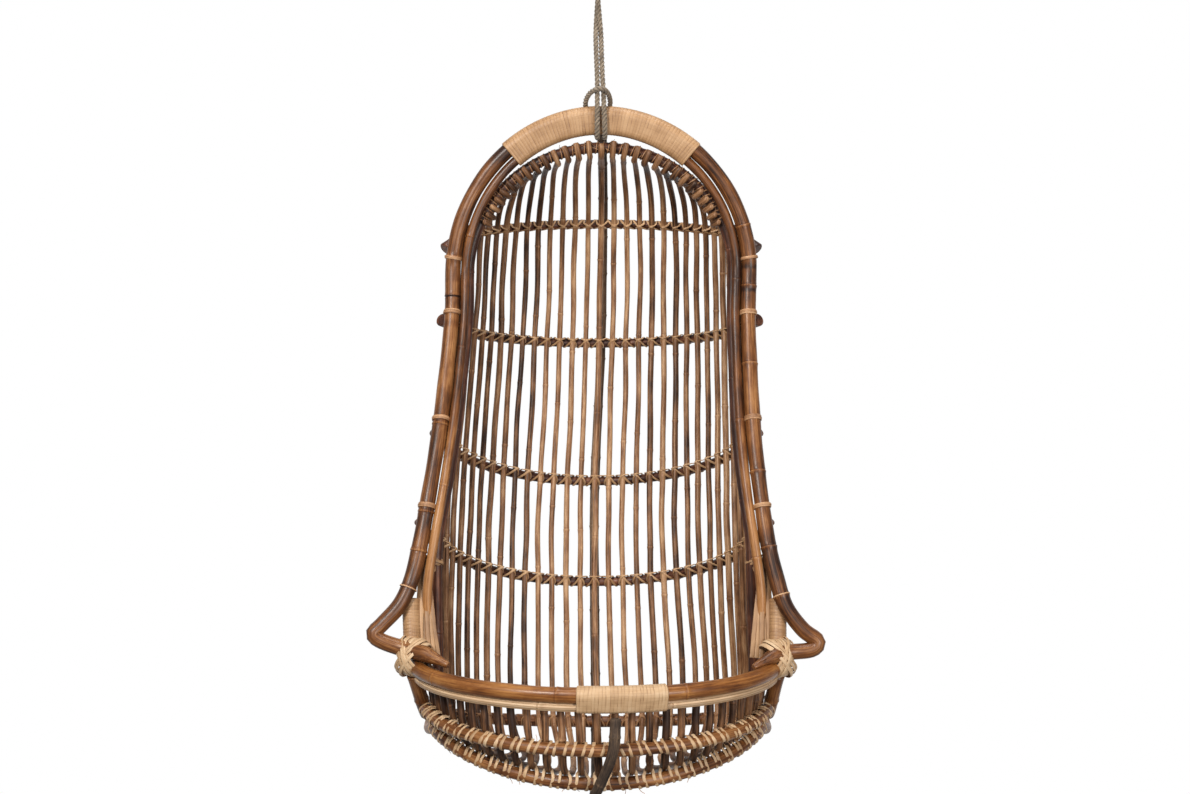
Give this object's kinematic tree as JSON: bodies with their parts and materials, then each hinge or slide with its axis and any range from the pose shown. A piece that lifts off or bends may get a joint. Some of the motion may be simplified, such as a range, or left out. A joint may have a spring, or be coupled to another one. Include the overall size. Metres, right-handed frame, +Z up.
{
  "type": "hanging egg chair",
  "caption": "Hanging rattan bucket chair: a tall open basket of thin canes bound to bent poles, hung by a doubled hemp rope from a swivelling ceiling plate.",
  "frame": {"origin": "centre of the ceiling plate's top face, which lies against the ceiling", "axes": "+Z up out of the ceiling face, -Y the open front of the chair, +X to the right as seen from the front"},
  "size_m": [0.7809, 0.6696, 1.5875],
  "materials": {
    "manau_pole": "thick rattan pole, reddish brown, semi gloss lacquer, darker at its bends and paler at its nodes",
    "dark_cane": "smoked dark rattan cane, satin",
    "spindle_cane": "thin brown rattan canes of mixed tone, satin, with nodes",
    "pale_peel": "wound strips of pale rattan peel, satin",
    "hemp_rope": "laid three strand natural fibre rope, dull",
    "zinc_steel": "zinc plated steel"
  },
  "bodies": {
    "ceiling": {"ceiling_plate": "zinc_steel", "ceiling_screw_1": "zinc_steel", "ceiling_screw_2": "zinc_steel", "ceiling_screw_3": "zinc_steel", "ceiling_screw_4": "zinc_steel", "swivel_yoke": "zinc_steel"},
    "swivel": {"swivel_eye": "zinc_steel"},
    "link": {"hanging_link": "zinc_steel"},
    "chair": {"apron_rail": "manau_pole", "arch_wrap": "pale_peel", "arm_brace_left": "manau_pole", "arm_brace_right": "manau_pole", "band_1": "dark_cane", "band_2": "dark_cane", "band_3": "dark_cane", "band_4": "dark_cane", "brace_wrap_left": "pale_peel", "brace_wrap_right": "pale_peel", "corner_post_left": "manau_pole", "corner_post_right": "manau_pole", "front_rail": "manau_pole", "front_under_cane": "pale_peel", "front_wrap": "pale_peel", "inner_hoop": "dark_cane", "main_rim_pole": "manau_pole", "rope": "hemp_rope", "seat_ring": "manau_pole", "second_rim_pole": "manau_pole", "spindle_01": "spindle_cane", "spindle_02": "spindle_cane", "spindle_03": "spindle_cane", "spindle_04": "spindle_cane", "spindle_05": "spindle_cane", "spindle_06": "spindle_cane", "spindle_07": "spindle_cane", "spindle_08": "spindle_cane", "spindle_09": "spindle_cane", "spindle_10": "spindle_cane", "spindle_11": "spindle_cane", "spindle_12": "spindle_cane", "spindle_13": "spindle_cane", "spindle_14": "spindle_cane", "spindle_15": "spindle_cane", "spindle_16": "spindle_cane", "spindle_17": "spindle_cane", "spindle_18": "spindle_cane", "spindle_19": "spindle_cane", "spindle_20": "spindle_cane", "spindle_21": "spindle_cane", "spindle_22": "spindle_cane", "spindle_23": "spindle_cane", "spindle_24": "spindle_cane", "spindle_25": "spindle_cane", "spindle_26": "spindle_cane", "spindle_27": "spindle_cane", "spindle_28": "spindle_cane", "spindle_29": "spindle_cane", "spine": "dark_cane", "splice_whipping": "hemp_rope"}
  },
  "joints": [
    {"name": "swivel_turn", "type": "hinge", "parent": "ceiling", "child": "swivel", "pos_m": [0, 0, -0.046], "axis": [0, 0, 1], "continuous": true},
    {"name": "side_swing", "type": "hinge", "parent": "swivel", "child": "link", "pos_m": [0, 0, -0.1074], "axis": [0, 1, 0], "range_deg": [-25, 25]},
    {"name": "fore_aft_swing", "type": "hinge", "parent": "link", "child": "chair", "pos_m": [0, 0, -0.1334], "axis": [1, 0, 0], "range_deg": [-30, 30]}
  ]
}
